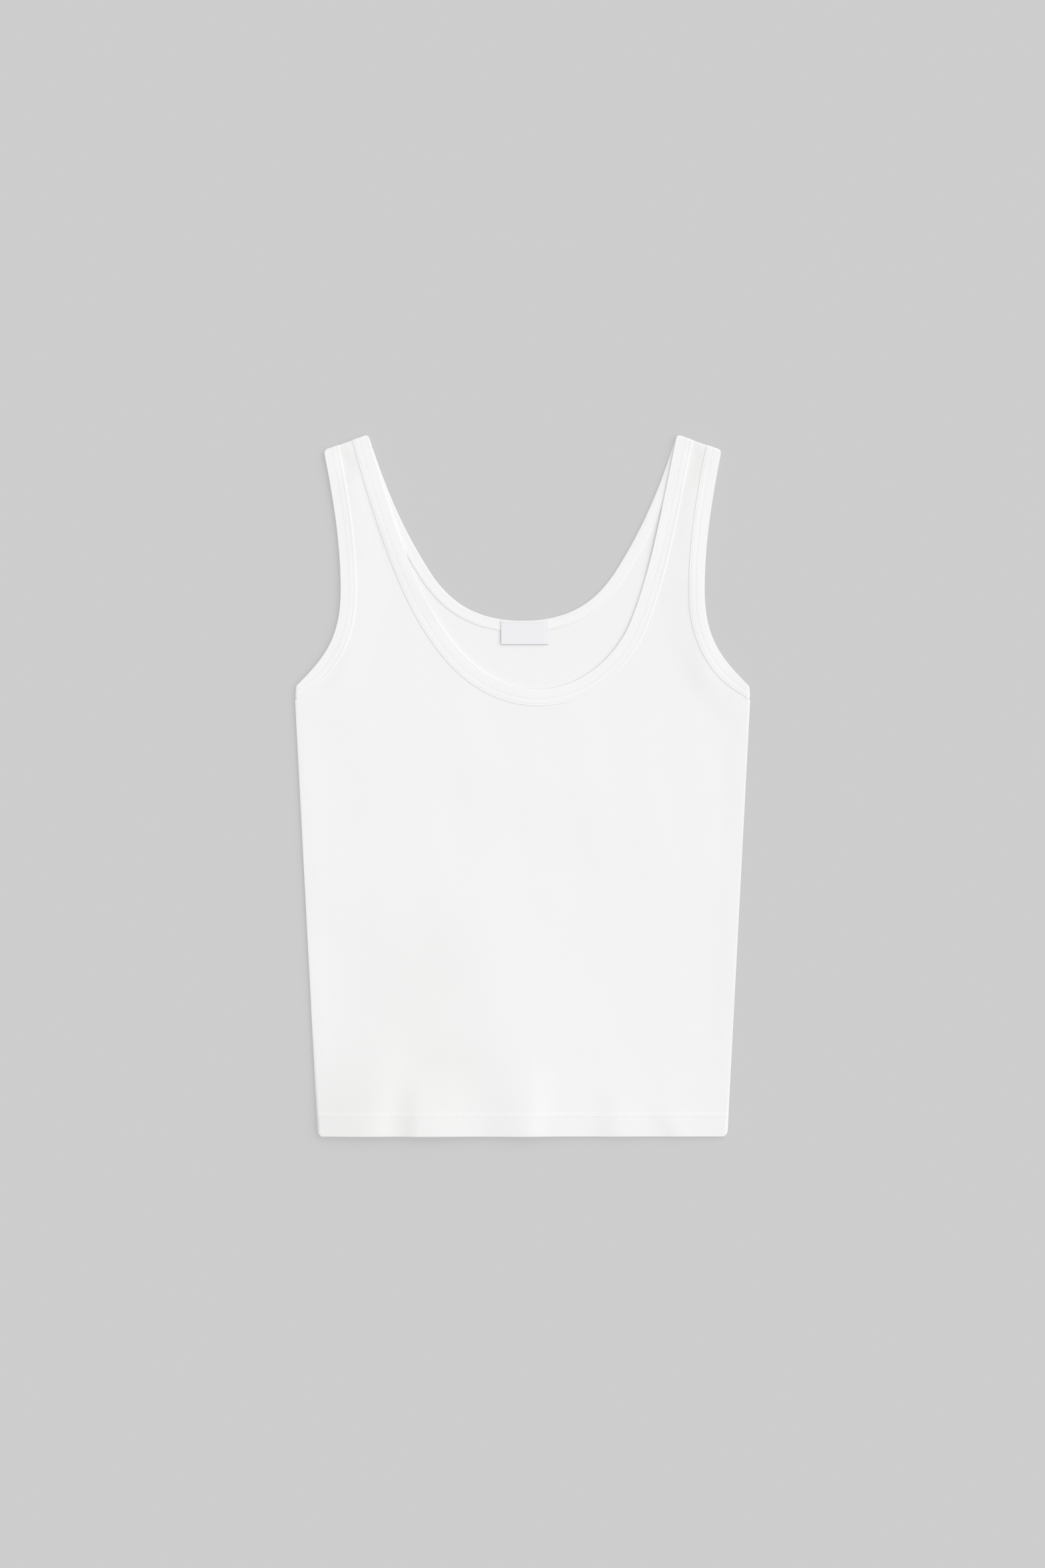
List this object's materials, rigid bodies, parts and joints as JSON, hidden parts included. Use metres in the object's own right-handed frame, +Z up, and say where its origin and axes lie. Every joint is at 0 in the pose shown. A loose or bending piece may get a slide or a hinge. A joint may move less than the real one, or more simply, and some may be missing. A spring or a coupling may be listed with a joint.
{
  "type": "tank top laid flat",
  "caption": "Sleeveless scoop-neck tank top in white rib jersey, laid flat on its back, with bound neckline and armholes, turned-up hem and a bare neck label.",
  "frame": {"origin": "on the surface that the garment lies on, under the middle of its bounding box", "axes": "+Z up, off the surface; +Y from the hem to the shoulder straps; +X towards the strap on the right as seen from above, with the front facing up"},
  "size_m": [0.396, 0.611, 0.0091],
  "materials": {
    "jersey": "matt fine cotton rib jersey, white",
    "binding": "matt cotton rib binding, white, folded and topstitched",
    "label_satin": "woven satin label, off-white, bare"
  },
  "bodies": {
    "root": {"front": "jersey", "back": "jersey", "neck_binding": "binding", "arm_binding_left": "binding", "arm_binding_right": "binding", "label": "label_satin"}
  },
  "joints": []
}
